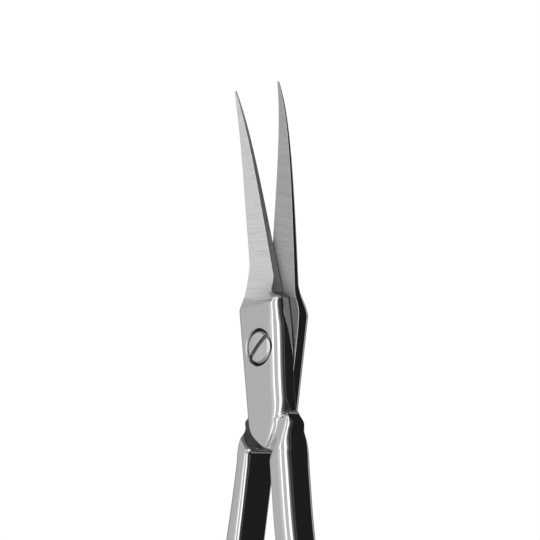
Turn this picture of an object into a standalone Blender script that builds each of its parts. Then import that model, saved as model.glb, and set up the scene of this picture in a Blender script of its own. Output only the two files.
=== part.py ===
"""Curved cuticle scissors: two forged halves, lapped at the joint and held by one slotted pivot screw.

The tool lies on its back, blades curving up. The pivot axis is Z through the origin, the tips point
along +Y and the closed tool is symmetric in plan about the Y axis. Each half is drawn closed, with +X
towards its cutting side and its shank, and is mirrored and turned into place.
"""

import math

import bmesh
import bpy
from mathutils import Matrix, Vector

MM = 0.001

# Blades
BLADE_REACH = 25.28 * MM
SPINE_AT_PIVOT = 2.41 * MM
SPINE_POWER = 0.64
EDGE_AT_PIVOT = 2.01 * MM
EDGE_POWER = 0.97
TIP_BLUNT = 0.2 * MM
TIP_THICKNESS = 0.14 * MM
TIP_GRIND_LENGTH = 2.0 * MM
BLADE_THICKNESS_AT_TIP = 0.16 * MM
BLADE_THICKNESS_AT_PIVOT = 0.82 * MM
BEVEL_SLANT_SHARE = 0.24

# Curve of the shearing surface, a surface of revolution about the pivot
CURVE_START_RADIUS = 2.5 * MM
CURVE_EASE = 1.5 * MM
CURVE_RISE = 2.29 * MM
CURVE_HOOK = 0.77 * MM
CURVE_HOOK_POWER = 6.5

# Lapped joint
JOINT_HEIGHT = 3.85 * MM
LAP_HEIGHT = 1.5 * MM
RUNNING_CLEARANCE = 0.08 * MM
PLATE_SPINE_WIDTH = 2.63 * MM
PLATE_SPINE_TAPER = 0.03
PLATE_EDGE_WIDTH = 2.48 * MM
PLATE_WAIST_WIDTH = 2.12 * MM
PLATE_WAIST_START = 3.0 * MM
PLATE_WAIST_END = -4.5 * MM
SHOULDER_FOOT = 3.5 * MM
SHOULDER_TOP = 5.6 * MM
UPPER_RAMP_FOOT = 4.0 * MM
UPPER_RAMP_TOP = 8.5 * MM
UPPER_RAMP_EDGE_TOP = 6.6 * MM
UPPER_RAMP_POWER = 1.2
LOWER_RAMP_FOOT = 3.3 * MM
LOWER_RAMP_TOP = 6.2 * MM
LOWER_RAMP_POWER = 1.3
BEVEL_END = 4.4 * MM
BEVEL_START = 5.2 * MM
FACET_END = -0.4 * MM
FACET_FULL = 2.6 * MM
FACET_HEIGHT = 0.8 * MM
FACET_REACH = 0.12 * MM

# Throat, where each half grows from its lap to full thickness
THROAT_START = -6.9 * MM
THROAT_END = -10.25 * MM
THROAT_TURN_POWER = 1.45
THROAT_OPENING = -5.6 * MM
THROAT_CLEARANCE = 0.15 * MM
THROAT_ROUND = 0.7 * MM
UPPER_THROAT_FILLET = 0.5 * MM
UPPER_THROAT_FOOT = -6.75 * MM
UPPER_THROAT_FULL = -11.4 * MM
UPPER_THROAT_POWER = 2.2
LOWER_THROAT_FILLET = 1.0 * MM
LOWER_THROAT_FOOT = -6.3 * MM
LOWER_THROAT_FULL = -10.6 * MM
LOWER_THROAT_POWER = 2.0
NOSE_TIP = -6.2 * MM
NOSE_ROUND = 0.9 * MM
NOSE_BULGE = 0.5 * MM
NOSE_END = -8.8 * MM

# Plateau of the joint's front, whose round edge runs across the throat above a groove
PLATEAU_TURN = -5.0 * MM
PLATEAU_BOW = 0.1 / MM
PLATEAU_CORNER_TAPER = 0.2
PLATEAU_CORNER_END = 0.5 * MM
PLATEAU_WALL = 4.0
GROOVE_DEPTH = 0.42 * MM
GROOVE_LENGTH = 1.1 * MM
GROOVE_FILLET = 0.4 * MM
SHANK_DROP = 0.12 * MM

# Shanks
UPPER_SHANK_INNER = 0.27 * MM
UPPER_SHANK_OUTER = 2.2 * MM
UPPER_SWELL_START = -15.0 * MM
UPPER_SWELL_END = -30.0 * MM
LOWER_SHANK_INNER = 0.57 * MM
LOWER_SHANK_OUTER = 2.15 * MM
LOWER_SWELL_START = -9.0 * MM
LOWER_SWELL_END = -26.0 * MM
BAR_INNER = 1.1 * MM
BAR_OUTER = 3.1 * MM
LOOP_INNER = 0.5 * MM
SHANK_RETURN_START = -28.0 * MM
SHANK_RETURN_END = -44.0 * MM
SHANK_FLARE_START = -33.0 * MM
SHANK_FLARE_LENGTH = 9.0 * MM
SHANK_FLARE = 2.7 * MM
SHANK_LEAN = 0.3 * MM
SHANK_LEAN_START = -44.0 * MM
TAIL_START = -45.0 * MM
TAIL_THICKNESS_SHARE = 0.63

# Corner radii
EDGE_CORNER = 1.4 * MM
SPINE_CORNER = 0.5 * MM
BACK_CORNER = 0.65 * MM
SHANK_CREST_CORNER = 1.4 * MM
SHANK_EDGE_CORNER = 0.7 * MM
SHANK_SHARP_CORNER = 0.3 * MM
SHANK_CORNER_START = -7.3 * MM
SHANK_CORNER_END = -11.6 * MM
LAP_CORNER = 0.04 * MM
BLADE_CORNER = 0.03 * MM

# Finger loops
LOOP_WIDTH = 24.5 * MM
LOOP_LENGTH = 31.0 * MM
LOOP_CENTRE = -54.5 * MM
LOOP_WALL = 2.6 * MM
LOOP_THICKNESS = 3.5 * MM
LOOP_ROUNDING_POWER = 2.6
LOOP_TAIL_INSET = 2.0 * MM

# Pivot screw
SEAT_RADIUS = 1.785 * MM
SEAT_DEPTH = 1.0 * MM
HEAD_RADIUS = 1.56 * MM
HEAD_LIFT = 0.18 * MM
HEAD_RIM_DROP = 0.12 * MM
DOME_HEIGHT = 0.16 * MM
SHOULDER_RADIUS = 1.1 * MM
THREAD_RADIUS = 0.95 * MM
SCREW_CLEARANCE = 0.05 * MM
SCREW_END_CHAMFER = 0.15 * MM
SLOT_WIDTH = 0.45 * MM
SLOT_DEPTH = 0.5 * MM
SLOT_ANGLE = math.radians(43)

# Pose in which the tool is shown
OPEN_HALF_ANGLE = math.radians(6.845)

# Fineness of the solids
BLADE_STATIONS = 15
RAMP_STATIONS = 9
JOINT_STATIONS = 5
THROAT_STATIONS = 22
SHANK_STATIONS = 5
TAIL_STATIONS = 11
CORNER_STEPS = 4
LAP_STEPS = 14
OUTSIDE_STEPS = 5
LOOP_STEPS = 44
LOOP_PROFILE_STEPS = 16
ROUND_STEPS = 48
DOME_STEPS = 4
CUT_OVERRUN = 1.0 * MM
CORNER_SHARE = 0.45
CORNER_PAIR_SHARE = 0.8
WELD = 0.0001 * MM
SMOOTH_ANGLE = math.radians(35)

STEEL_COLOUR = (0.42, 0.42, 0.43, 1.0)
STEEL_ROUGHNESS = 0.16
SCREW_ROUGHNESS = 0.22


def blend(low, high, share):
    """Value between low and high with a smooth start and end, for a share from 0 to 1."""
    share = min(max(share, 0.0), 1.0)
    return low + (high - low) * share * share * (3 - 2 * share)


def progress(value, start, end):
    """Share of the way from start to end, clamped to 0 and 1."""
    return min(max((value - start) / (end - start), 0.0), 1.0)


def shear_rise(radius):
    """Height of the shearing surface over the lap plane, at a radius from the pivot."""
    reach = BLADE_REACH - CURVE_START_RADIUS
    out = max(radius - CURVE_START_RADIUS, 0.0)
    eased = out * out / (2 * CURVE_EASE) if out < CURVE_EASE else out - CURVE_EASE / 2
    return CURVE_RISE * eased / (reach - CURVE_EASE / 2) + CURVE_HOOK * (out / reach) ** CURVE_HOOK_POWER


def spine_width(y):
    """Distance of the blade's back from the tip line, growing to the joint plate's side."""
    left = max(BLADE_REACH - y, 0.0)
    blade = SPINE_AT_PIVOT * (left / BLADE_REACH) ** SPINE_POWER
    plate = PLATE_SPINE_WIDTH + PLATE_SPINE_TAPER * y
    return blend(blade, plate, progress(y, SHOULDER_TOP, SHOULDER_FOOT))


def edge_line(y):
    """Distance of the cutting edge from the tip line."""
    return EDGE_AT_PIVOT * (max(BLADE_REACH - y, 0.0) / BLADE_REACH) ** EDGE_POWER


def blade_thickness(y):
    left = max(BLADE_REACH - y, 0.0)
    full = BLADE_THICKNESS_AT_TIP + (BLADE_THICKNESS_AT_PIVOT - BLADE_THICKNESS_AT_TIP) * left / BLADE_REACH
    return TIP_THICKNESS + (full - TIP_THICKNESS) * min(left / TIP_GRIND_LENGTH, 1.0)


def swelling(y, upper):
    """How far the shank has grown towards the plain bar of its lower part, from 0 to 1."""
    if upper:
        return blend(0.0, 1.0, progress(y, UPPER_SWELL_START, UPPER_SWELL_END))
    return blend(0.0, 1.0, progress(y, LOWER_SWELL_START, LOWER_SWELL_END))


def shank_inner_side(y, upper):
    """Inner side of the shank, which bows outwards and comes back to its finger loop."""
    start = UPPER_SHANK_INNER if upper else LOWER_SHANK_INNER
    inner = start + (BAR_INNER - start) * swelling(y, upper)
    return blend(inner, LOOP_INNER, progress(y, SHANK_RETURN_START, SHANK_RETURN_END))


def plate_inner_side(y, upper):
    """Spine side of the joint plate, which runs across the throat to the inner side of the shank."""
    plate = -(PLATE_SPINE_WIDTH + PLATE_SPINE_TAPER * y)
    across = progress(y, THROAT_START, THROAT_END) ** THROAT_TURN_POWER
    return blend(plate, shank_inner_side(y, upper), across)


def loop_half_width():
    return LOOP_WIDTH / 2


def loop_centre_x():
    return LOOP_INNER + loop_half_width()


def loop_midline_x(y):
    """Inner side of the loop's midline at a place along the tool."""
    half = LOOP_LENGTH / 2 - LOOP_WALL / 2
    share = min(abs(y - LOOP_CENTRE) / half, 1.0)
    return loop_centre_x() - (loop_half_width() - LOOP_WALL / 2) * math.sqrt(1 - share * share)


def inner_side(y, upper):
    """X of the side away from the cutting edge: blade spine, plate side, then the shank's inner side."""
    if y > 0:
        return -spine_width(y)
    lean = SHANK_LEAN * progress(y, SHANK_LEAN_START, LOOP_CENTRE)
    return plate_inner_side(y, upper) + lean


def nose_fall(y):
    """Share by which the shank's round front end falls back at its tip, from 1 at the tip to 0."""
    return 1 - math.sqrt(1 - progress(y, NOSE_TIP - NOSE_ROUND, NOSE_TIP) ** 2)


def outer_side(y, upper):
    """X of the side wall on the cutting side: joint plate, then the shank from its round front end."""
    plate = blend(PLATE_EDGE_WIDTH, PLATE_WAIST_WIDTH, progress(y, PLATE_WAIST_START, PLATE_WAIST_END))
    start = UPPER_SHANK_OUTER if upper else LOWER_SHANK_OUTER
    shank = start + (BAR_OUTER - start) * swelling(y, upper)
    shank += blend(NOSE_BULGE, 0.0, progress(y, NOSE_TIP - NOSE_ROUND, NOSE_END))
    side = shank + (plate - shank) * nose_fall(y)
    flare = max(SHANK_FLARE_START - y, 0.0) / SHANK_FLARE_LENGTH
    side += SHANK_FLARE * flare**3
    if y < LOOP_CENTRE + LOOP_LENGTH / 2 - LOOP_WALL:
        side = min(side, loop_midline_x(y))
    return side


def throat_opened(y):
    """How far the throat's shape has set in, from 0 at the joint plate to 1 where its side turns in."""
    return blend(0.0, 1.0, progress(y, THROAT_OPENING, THROAT_START))


def throat_rise(x, y, upper, full_rise):
    """Height gained over the lap: a fillet round the other half's plate, then a wall with a round top."""
    opened = throat_opened(y)
    if opened == 0:
        return 0.0
    fillet = UPPER_THROAT_FILLET if upper else LOWER_THROAT_FILLET
    foot = UPPER_THROAT_FOOT if upper else LOWER_THROAT_FOOT
    full = UPPER_THROAT_FULL if upper else LOWER_THROAT_FULL
    power = UPPER_THROAT_POWER if upper else LOWER_THROAT_POWER
    height = full_rise * (1 - (1 - progress(y, foot, full)) ** power)
    past = x + plate_inner_side(y, not upper) - THROAT_CLEARANCE
    radius = min(fillet * opened, height)
    rise = radius - math.sqrt(radius**2 - min(max(past + radius, 0.0), radius) ** 2)
    wall = math.sqrt(1 - (1 - min(max(past, 0.0) / THROAT_ROUND, 1.0)) ** 2)
    return rise + (height - rise) * wall


def tail_sink(y):
    """How far each face of the shank draws in as the shank runs into its loop."""
    sink = (JOINT_HEIGHT - SHANK_DROP - TAIL_THICKNESS_SHARE * LOOP_THICKNESS) / 2
    return blend(0.0, sink, progress(y, TAIL_START, LOOP_CENTRE + LOOP_TAIL_INSET))


def plateau_fall(x, y):
    """Depth of the plateau's round edge under the joint's flat, and the distance past its side."""
    turned = max(PLATEAU_TURN - y, 0.0)
    side = PLATE_WAIST_WIDTH - PLATEAU_BOW * turned**2
    across = (x - side) / math.hypot(1.0, 2 * PLATEAU_BOW * turned)
    radius = max(EDGE_CORNER - PLATEAU_CORNER_TAPER * turned, PLATEAU_CORNER_END)
    edge = min(max(across + radius, 0.0), radius)
    return radius - math.sqrt(radius**2 - edge**2) + PLATEAU_WALL * max(across, 0.0), across


def shank_drop(x, y):
    """How far the outside face lies under the joint's flat: the plateau's edge, a groove, then the shank."""
    if y > PLATEAU_TURN:
        return 0.0
    plateau, across = plateau_fall(x, y)
    groove = blend(GROOVE_DEPTH, 0.0, across / GROOVE_LENGTH)
    shank = SHANK_DROP + groove + (JOINT_HEIGHT - LAP_HEIGHT) * nose_fall(y)
    near = max(GROOVE_FILLET - abs(plateau - shank), 0.0) / GROOVE_FILLET
    return max(min(plateau, shank) - near**2 * GROOVE_FILLET / 4, 0.0)


def lap_surface(x, y, offset):
    return LAP_HEIGHT + offset + shear_rise(math.hypot(x, y)) * (y > 0)


def upper_low(x, y):
    """Underside of the half that carries the screw's head."""
    lap = lap_surface(x, y, RUNNING_CLEARANCE / 2)
    return lap - throat_rise(x, y, True, lap) + tail_sink(y)


def upper_high(x, y):
    """Top of the half that carries the screw's head."""
    if y > UPPER_RAMP_FOOT:
        blade = lap_surface(x, y, RUNNING_CLEARANCE / 2) + blade_thickness(y)
        across = progress(x, -spine_width(y), edge_line(y))
        ramp_top = UPPER_RAMP_TOP + (UPPER_RAMP_EDGE_TOP - UPPER_RAMP_TOP) * across
        share = progress(y, ramp_top, UPPER_RAMP_FOOT) ** UPPER_RAMP_POWER
        return blade + (JOINT_HEIGHT - blade) * share
    return JOINT_HEIGHT - shank_drop(x, y) - tail_sink(y)


def lower_low(x, y):
    """Back of the threaded half."""
    if y > LOWER_RAMP_FOOT:
        blade = lap_surface(x, y, -RUNNING_CLEARANCE / 2) - blade_thickness(y)
        return blade * (1 - progress(y, LOWER_RAMP_TOP, LOWER_RAMP_FOOT) ** LOWER_RAMP_POWER)
    return tail_sink(y)


def lower_high(x, y):
    """Top of the threaded half: its shearing surface, then the shank's top."""
    lap = lap_surface(x, y, -RUNNING_CLEARANCE / 2)
    return lap + throat_rise(x, y, False, JOINT_HEIGHT - SHANK_DROP - lap) - tail_sink(y)


def corner_radii(y, upper):
    """Radii of the lap-side and outside corners: lap inner, lap outer, outside inner, outside outer."""
    joint = progress(y, SHOULDER_TOP, SHOULDER_FOOT)
    shank = progress(y, SHANK_CORNER_START, SHANK_CORNER_END)
    lap = blend(BLADE_CORNER, LAP_CORNER, joint)
    other_fillet = LOWER_THROAT_FILLET if upper else UPPER_THROAT_FILLET
    nested = blend(lap, other_fillet, throat_opened(y))
    outside_inner = blend(BLADE_CORNER, SPINE_CORNER if upper else BACK_CORNER, joint)
    outside_outer = blend(BLADE_CORNER, EDGE_CORNER if upper else BACK_CORNER, joint)
    return (
        blend(nested, SHANK_EDGE_CORNER, progress(y, THROAT_END, SHANK_CORNER_END)),
        blend(lap, SHANK_EDGE_CORNER, shank),
        blend(outside_inner, SHANK_SHARP_CORNER, shank),
        blend(outside_outer, SHANK_CREST_CORNER, shank),
    )


def fitted(inner, outer, width):
    """Corner reaches on one face, scaled together where the face is too narrow for both."""
    share = min(CORNER_PAIR_SHARE * width / (inner + outer), 1.0)
    return inner * share, outer * share


def section(y, upper):
    """Closed list of (x, z) round the half at y, from its lap face outwards and back by the outside face."""
    inner, wall = inner_side(y, upper), outer_side(y, upper)
    low, high = (upper_low, upper_high) if upper else (lower_low, lower_high)
    lap, outside = (low, high) if upper else (high, low)
    out = 1 if upper else -1
    lap_inner, lap_outer, outside_inner, outside_outer = corner_radii(y, upper)
    foot, top, facet = wall, wall, 0.0
    lap_reach, lap_rise = lap_outer, lap_outer
    if y > FACET_END:
        joint = progress(y, BEVEL_START, BEVEL_END)
        facet = joint * progress(y, FACET_END, FACET_FULL)
        foot = blend(edge_line(y) + lap_outer, wall, joint)
        top = blend(edge_line(y) - BEVEL_SLANT_SHARE * blade_thickness(y), wall, joint)
        lap_reach = lap_outer + FACET_REACH * facet
        lap_rise = lap_outer + FACET_HEIGHT * facet

    depth = abs(outside(wall, y) - lap(wall, y))
    inner_depth = abs(outside(inner, y) - lap(inner, y))
    lap_inner, lap_reach = fitted(min(lap_inner, inner_depth * CORNER_SHARE), lap_reach, foot - inner)
    lap_rise = min(lap_rise, depth * CORNER_SHARE)
    outside_outer = min(outside_outer, 2 * depth * CORNER_SHARE - lap_rise)
    outside_inner = min(outside_inner, 2 * inner_depth * CORNER_SHARE - lap_inner)
    outside_inner, outside_outer = fitted(outside_inner, outside_outer, top - inner)

    points = []
    start, end = inner + lap_inner, foot - lap_reach
    for step in range(1, LAP_STEPS):
        x = start + (end - start) * step / LAP_STEPS
        points.append((x, lap(x, y)))
    for step in range(CORNER_STEPS + 1):
        turn = math.pi / 2 * step / CORNER_STEPS
        across = math.sin(turn) + (step / CORNER_STEPS - math.sin(turn)) * facet
        up = 1 - math.cos(turn) + (step / CORNER_STEPS - 1 + math.cos(turn)) * facet
        points.append((end + lap_reach * across, lap(end, y) + out * lap_rise * up))
    for step in range(CORNER_STEPS + 1):
        turn = math.pi / 2 * step / CORNER_STEPS
        x = top - outside_outer * (1 - math.cos(turn))
        points.append((x, outside(x, y) - out * outside_outer * (1 - math.sin(turn))))
    start, end = top - outside_outer, inner + outside_inner
    for step in range(1, OUTSIDE_STEPS):
        x = start + (end - start) * step / OUTSIDE_STEPS
        points.append((x, outside(x, y)))
    for step in range(CORNER_STEPS + 1):
        turn = math.pi / 2 * step / CORNER_STEPS
        x = inner + outside_inner * (1 - math.sin(turn))
        points.append((x, outside(x, y) - out * outside_inner * (1 - math.cos(turn))))
    for step in range(CORNER_STEPS + 1):
        turn = math.pi / 2 * step / CORNER_STEPS
        x = inner + lap_inner * (1 - math.cos(turn))
        points.append((x, lap(x, y) + out * lap_inner * (1 - math.sin(turn))))
    return points


def spread(start, end, steps, power=1.0):
    """Places from start up to, but not including, end."""
    return [start + (end - start) * (step / steps) ** power for step in range(steps)]


def stations():
    """Places of the loft's sections, from the tip to the shank's tail inside the loop."""
    tip = BLADE_REACH - TIP_BLUNT
    tail = LOOP_CENTRE + LOOP_TAIL_INSET
    return (
        spread(tip, UPPER_RAMP_TOP, BLADE_STATIONS, 1.4)
        + spread(UPPER_RAMP_TOP, LOWER_RAMP_FOOT, RAMP_STATIONS)
        + spread(LOWER_RAMP_FOOT, THROAT_OPENING, JOINT_STATIONS)
        + spread(THROAT_OPENING, SHANK_CORNER_END, THROAT_STATIONS)
        + spread(SHANK_CORNER_END, SHANK_FLARE_START, SHANK_STATIONS)
        + spread(SHANK_FLARE_START, tail, TAIL_STATIONS)
        + [tail]
    )


def mesh_object(name, mesh, collection):
    obj = bpy.data.objects.new(name, mesh)
    collection.objects.link(obj)
    return obj


def loft_mesh(name, upper):
    """Blade, joint plate and shank of one half, as a skin over its sections."""
    model = bmesh.new()
    rings = []
    for y in stations():
        outline = section(y, upper)
        if not upper:
            outline.reverse()
        rings.append([model.verts.new((x, y, z)) for x, z in outline])
    for first, second in zip(rings, rings[1:]):
        count = len(first)
        for i in range(count):
            j = (i + 1) % count
            model.faces.new((first[i], first[j], second[j], second[i]))
    model.faces.new(rings[0][::-1])
    model.faces.new(rings[-1])
    bmesh.ops.triangulate(model, faces=model.faces)
    mesh = bpy.data.meshes.new(name)
    model.to_mesh(mesh)
    model.free()
    return mesh


def closed_curve(name, points, collection):
    curve = bpy.data.curves.new(name, "CURVE")
    spline = curve.splines.new("POLY")
    spline.points.add(len(points) - 1)
    for point, (x, y) in zip(spline.points, points):
        point.co = (x, y, 0.0, 1.0)
    spline.use_cyclic_u = True
    obj = bpy.data.objects.new(name, curve)
    collection.objects.link(obj)
    return obj


def rounded_power(value, power):
    return math.copysign(abs(value) ** (2 / power), value)


def loop_profile(collection):
    """Cross-section of a finger loop: a rounded bar, as wide as the wall and as thick as the loop."""
    points = []
    for step in range(LOOP_PROFILE_STEPS):
        turn = 2 * math.pi * step / LOOP_PROFILE_STEPS
        x = LOOP_WALL / 2 * rounded_power(math.cos(turn), LOOP_ROUNDING_POWER)
        y = LOOP_THICKNESS / 2 * rounded_power(math.sin(turn), LOOP_ROUNDING_POWER)
        points.append((x, y))
    return closed_curve("loop_profile", points, collection)


def loop_object(name, collection):
    """Finger loop: the bar swept round an oval."""
    profile = loop_profile(collection)
    a = loop_half_width() - LOOP_WALL / 2
    b = LOOP_LENGTH / 2 - LOOP_WALL / 2
    turns = [2 * math.pi * step / LOOP_STEPS for step in range(LOOP_STEPS)]
    path = closed_curve(name + "_path", [(a * math.cos(t), b * math.sin(t)) for t in turns], collection)
    path.data.bevel_mode = "OBJECT"
    path.data.bevel_object = profile
    bpy.context.view_layer.update()
    graph = bpy.context.evaluated_depsgraph_get()
    mesh = bpy.data.meshes.new_from_object(path.evaluated_get(graph))
    bpy.data.objects.remove(path)
    bpy.data.objects.remove(profile)
    model = bmesh.new()
    model.from_mesh(mesh)
    bmesh.ops.remove_doubles(model, verts=model.verts, dist=WELD)
    bmesh.ops.recalc_face_normals(model, faces=model.faces)
    model.to_mesh(mesh)
    model.free()
    middle = (JOINT_HEIGHT - SHANK_DROP) / 2
    mesh.transform(Matrix.Translation((loop_centre_x(), LOOP_CENTRE, middle)))
    return mesh_object(name, mesh, collection)


def hide(obj):
    obj.hide_render = True
    obj.display_type = "WIRE"


def cylinder(name, radius, low, high, collection):
    bpy.ops.mesh.primitive_cylinder_add(vertices=ROUND_STEPS, radius=radius, depth=high - low)
    obj = bpy.context.object
    obj.name = name
    obj.data.transform(Matrix.Translation((0, 0, (low + high) / 2)))
    for holder in list(obj.users_collection):
        holder.objects.unlink(obj)
    collection.objects.link(obj)
    hide(obj)
    return obj


def boolean(obj, other, operation):
    modifier = obj.modifiers.new(other.name, "BOOLEAN")
    modifier.operation = operation
    modifier.solver = "EXACT"
    modifier.object = other


def steel(name, roughness):
    material = bpy.data.materials.new(name)
    material.use_nodes = True
    shader = material.node_tree.nodes["Principled BSDF"]
    shader.inputs["Base Color"].default_value = STEEL_COLOUR
    shader.inputs["Metallic"].default_value = 1.0
    shader.inputs["Roughness"].default_value = roughness
    return material


def place_half(obj, pivot, upper):
    """Hangs a half on its pivot, turned to the pose in which the tool is shown."""
    obj.parent = pivot
    pivot.rotation_euler.z = OPEN_HALF_ANGLE if upper else -OPEN_HALF_ANGLE


def mirror_mesh(mesh):
    mesh.transform(Matrix.Scale(-1, 4, Vector((1, 0, 0))))
    mesh.flip_normals()


def pivot_empty(name, collection):
    empty = bpy.data.objects.new(name, None)
    collection.objects.link(empty)
    return empty


def build_half(name, upper, parts, cutters):
    body = mesh_object(name, loft_mesh(name, upper), parts)
    loop = loop_object(name + "_loop", cutters)
    hide(loop)
    if not upper:
        mirror_mesh(body.data)
        mirror_mesh(loop.data)
    pivot = pivot_empty(name + "_pivot", parts)
    place_half(body, pivot, upper)
    loop.parent = pivot
    boolean(body, loop, "UNION")
    top = JOINT_HEIGHT + CUT_OVERRUN
    if upper:
        bore = SHOULDER_RADIUS + SCREW_CLEARANCE
        boolean(body, cylinder("shoulder_bore", bore, -CUT_OVERRUN, top, cutters), "DIFFERENCE")
        seat = cylinder("head_seat", SEAT_RADIUS, JOINT_HEIGHT - SEAT_DEPTH, top, cutters)
        boolean(body, seat, "DIFFERENCE")
    else:
        bore = THREAD_RADIUS + SCREW_CLEARANCE
        boolean(body, cylinder("thread_bore", bore, -CUT_OVERRUN, top, cutters), "DIFFERENCE")
    body.data.materials.append(steel(name, STEEL_ROUGHNESS))
    body.data.shade_smooth()
    body.data.set_sharp_from_angle(angle=SMOOTH_ANGLE)
    return body


def screw_profile():
    """Half section of the screw as (radius, height), from the top of the dome down to the end."""
    seat = JOINT_HEIGHT - SEAT_DEPTH + SCREW_CLEARANCE
    rim = JOINT_HEIGHT + HEAD_LIFT - DOME_HEIGHT
    shoulder = LAP_HEIGHT - RUNNING_CLEARANCE / 2 + SCREW_CLEARANCE
    dome = []
    for step in range(DOME_STEPS + 1):
        share = step / DOME_STEPS
        dome.append((HEAD_RADIUS * share, rim + DOME_HEIGHT * (1 - share * share)))
    return dome + [
        (HEAD_RADIUS, rim - HEAD_RIM_DROP),
        (HEAD_RADIUS, seat),
        (SHOULDER_RADIUS, seat),
        (SHOULDER_RADIUS, shoulder),
        (THREAD_RADIUS, shoulder),
        (THREAD_RADIUS, SCREW_END_CHAMFER),
        (THREAD_RADIUS - SCREW_END_CHAMFER, 0.0),
        (0.0, 0.0),
    ]


def build_screw(parts, cutters):
    mesh = bpy.data.meshes.new("pivot_screw")
    points = screw_profile()
    edges = [(i, i + 1) for i in range(len(points) - 1)]
    mesh.from_pydata([(radius, 0.0, height) for radius, height in points], edges, [])
    screw = mesh_object("pivot_screw", mesh, parts)
    turned = screw.modifiers.new("turned", "SCREW")
    turned.steps = ROUND_STEPS
    turned.render_steps = ROUND_STEPS
    turned.use_merge_vertices = True
    turned.merge_threshold = WELD
    bpy.ops.mesh.primitive_cube_add(size=1.0)
    slot = bpy.context.object
    slot.name = "driver_slot"
    length = 2 * (HEAD_RADIUS + CUT_OVERRUN)
    slot.data.transform(Matrix.Diagonal((length, SLOT_WIDTH, SLOT_DEPTH + CUT_OVERRUN, 1.0)))
    floor = JOINT_HEIGHT + HEAD_LIFT - SLOT_DEPTH
    slot.data.transform(Matrix.Translation((0, 0, floor + (SLOT_DEPTH + CUT_OVERRUN) / 2)))
    slot.rotation_euler.z = SLOT_ANGLE
    for holder in list(slot.users_collection):
        holder.objects.unlink(slot)
    cutters.objects.link(slot)
    hide(slot)
    boolean(screw, slot, "DIFFERENCE")
    mesh.materials.append(steel("pivot_screw", SCREW_ROUGHNESS))
    return screw


def main():
    for obj in list(bpy.data.objects):
        bpy.data.objects.remove(obj)
    parts = bpy.data.collections.new("curved_scissors")
    cutters = bpy.data.collections.new("cutters")
    for collection in (parts, cutters):
        bpy.context.scene.collection.children.link(collection)
    build_half("lower_half", False, parts, cutters)
    build_half("upper_half", True, parts, cutters)
    build_screw(parts, cutters)


main()
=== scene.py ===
"""Curved cuticle scissors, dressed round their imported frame.

Sizes are in millimetres until a mesh is made. Each half is drawn closed in its own frame, with +X towards
its cutting side and its shank and +Y towards the tips. The lower half is then mirrored, and each is turned
to its shown pose.
"""

from __future__ import annotations

import logging
import math
from dataclasses import dataclass, field
from enum import Enum, IntEnum

import bmesh
import bpy
from mathutils import Matrix, Vector

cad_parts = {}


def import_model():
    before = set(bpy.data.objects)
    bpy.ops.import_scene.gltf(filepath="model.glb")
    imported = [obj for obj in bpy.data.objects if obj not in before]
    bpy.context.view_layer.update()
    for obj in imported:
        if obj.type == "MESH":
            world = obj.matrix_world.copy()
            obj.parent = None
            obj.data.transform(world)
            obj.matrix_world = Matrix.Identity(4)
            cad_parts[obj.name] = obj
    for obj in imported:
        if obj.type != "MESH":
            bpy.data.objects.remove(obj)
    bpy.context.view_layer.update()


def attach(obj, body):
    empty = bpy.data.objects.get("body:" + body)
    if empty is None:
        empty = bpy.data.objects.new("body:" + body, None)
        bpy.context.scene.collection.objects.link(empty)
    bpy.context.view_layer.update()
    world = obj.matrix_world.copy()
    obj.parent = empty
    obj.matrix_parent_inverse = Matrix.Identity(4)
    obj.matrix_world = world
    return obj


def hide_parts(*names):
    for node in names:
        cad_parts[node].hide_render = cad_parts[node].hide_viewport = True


LOG = logging.getLogger("scissors")
MM = 0.001
Point = tuple[float, float]
MERGE_DISTANCE = 1e-7


class Side(Enum):
    """Which half of the scissors: the one under the screw's head, or the threaded one."""

    UPPER = 1
    LOWER = -1


class Finish(IntEnum):
    """Surface finishes of a half, in the order of its material slots; the bevel's and the lap's dark colours are
    painted shade.
    """

    POLISHED = 0
    SATIN = 1
    SHEAR = 2
    # The cutting bevel: its dark colour is painted shade.
    BEVEL = 3
    MACHINED = 4
    FACET = 5
    # The lap: its darker colour is painted shade from the other half; its roughness is the lapped finish.
    LAP = 6


Outline = list[tuple[float, float, Finish]]
Steels = list[bpy.types.Material]


def blend(low: float, high: float, share: float) -> float:
    """Value between low and high with a smooth start and end.

    Args:
        low: Value at share 0.
        high: Value at share 1.
        share: Share of the way, clamped to 0 and 1.

    Returns:
        The eased value.
    """
    share = min(max(share, 0.0), 1.0)
    return low + (high - low) * share * share * (3 - 2 * share)


def progress(value: float, start: float, end: float) -> float:
    """Share of the way from start to end, clamped to 0 and 1."""
    return min(max((value - start) / (end - start), 0.0), 1.0)


def written(model: bmesh.types.BMesh, mesh: bpy.types.Mesh) -> bpy.types.Mesh:
    """Writes a model into a mesh.

    Args:
        model: Model in metres, which is freed.
        mesh: Mesh that it replaces.

    Returns:
        The mesh.
    """
    model.to_mesh(mesh)
    model.free()
    return mesh


def add_object(name: str, mesh: bpy.types.Mesh, materials: Steels) -> bpy.types.Object:
    """Puts a mesh into the scene.

    Args:
        name: Name of the object.
        mesh: Its mesh.
        materials: Materials that go after any that the mesh has.

    Returns:
        The object.
    """
    for material in materials:
        mesh.materials.append(material)
    obj = bpy.data.objects.new(name, mesh)
    bpy.context.scene.collection.objects.link(obj)
    return obj


def smooth(model: bmesh.types.BMesh, verts: list[bmesh.types.BMVert], passes: int, level: bool = True) -> None:
    """Evens out points.

    Args:
        model: Model that they are in.
        verts: Points that may move.
        passes: How often each goes half of the way to the middle of its neighbours.
        level: Whether they move in X and Y as well as in height.
    """
    for _ in range(passes):
        bmesh.ops.smooth_vert(model, verts=verts, factor=0.5, use_axis_x=level, use_axis_y=level, use_axis_z=True)


def baked(obj: bpy.types.Object) -> bpy.types.Mesh:
    """A plain mesh of an object as its modifiers shape it.

    Args:
        obj: The object, which stays as it is.

    Returns:
        The mesh.
    """
    graph = bpy.context.evaluated_depsgraph_get()
    graph.update()
    return bpy.data.meshes.new_from_object(obj.evaluated_get(graph))


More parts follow.
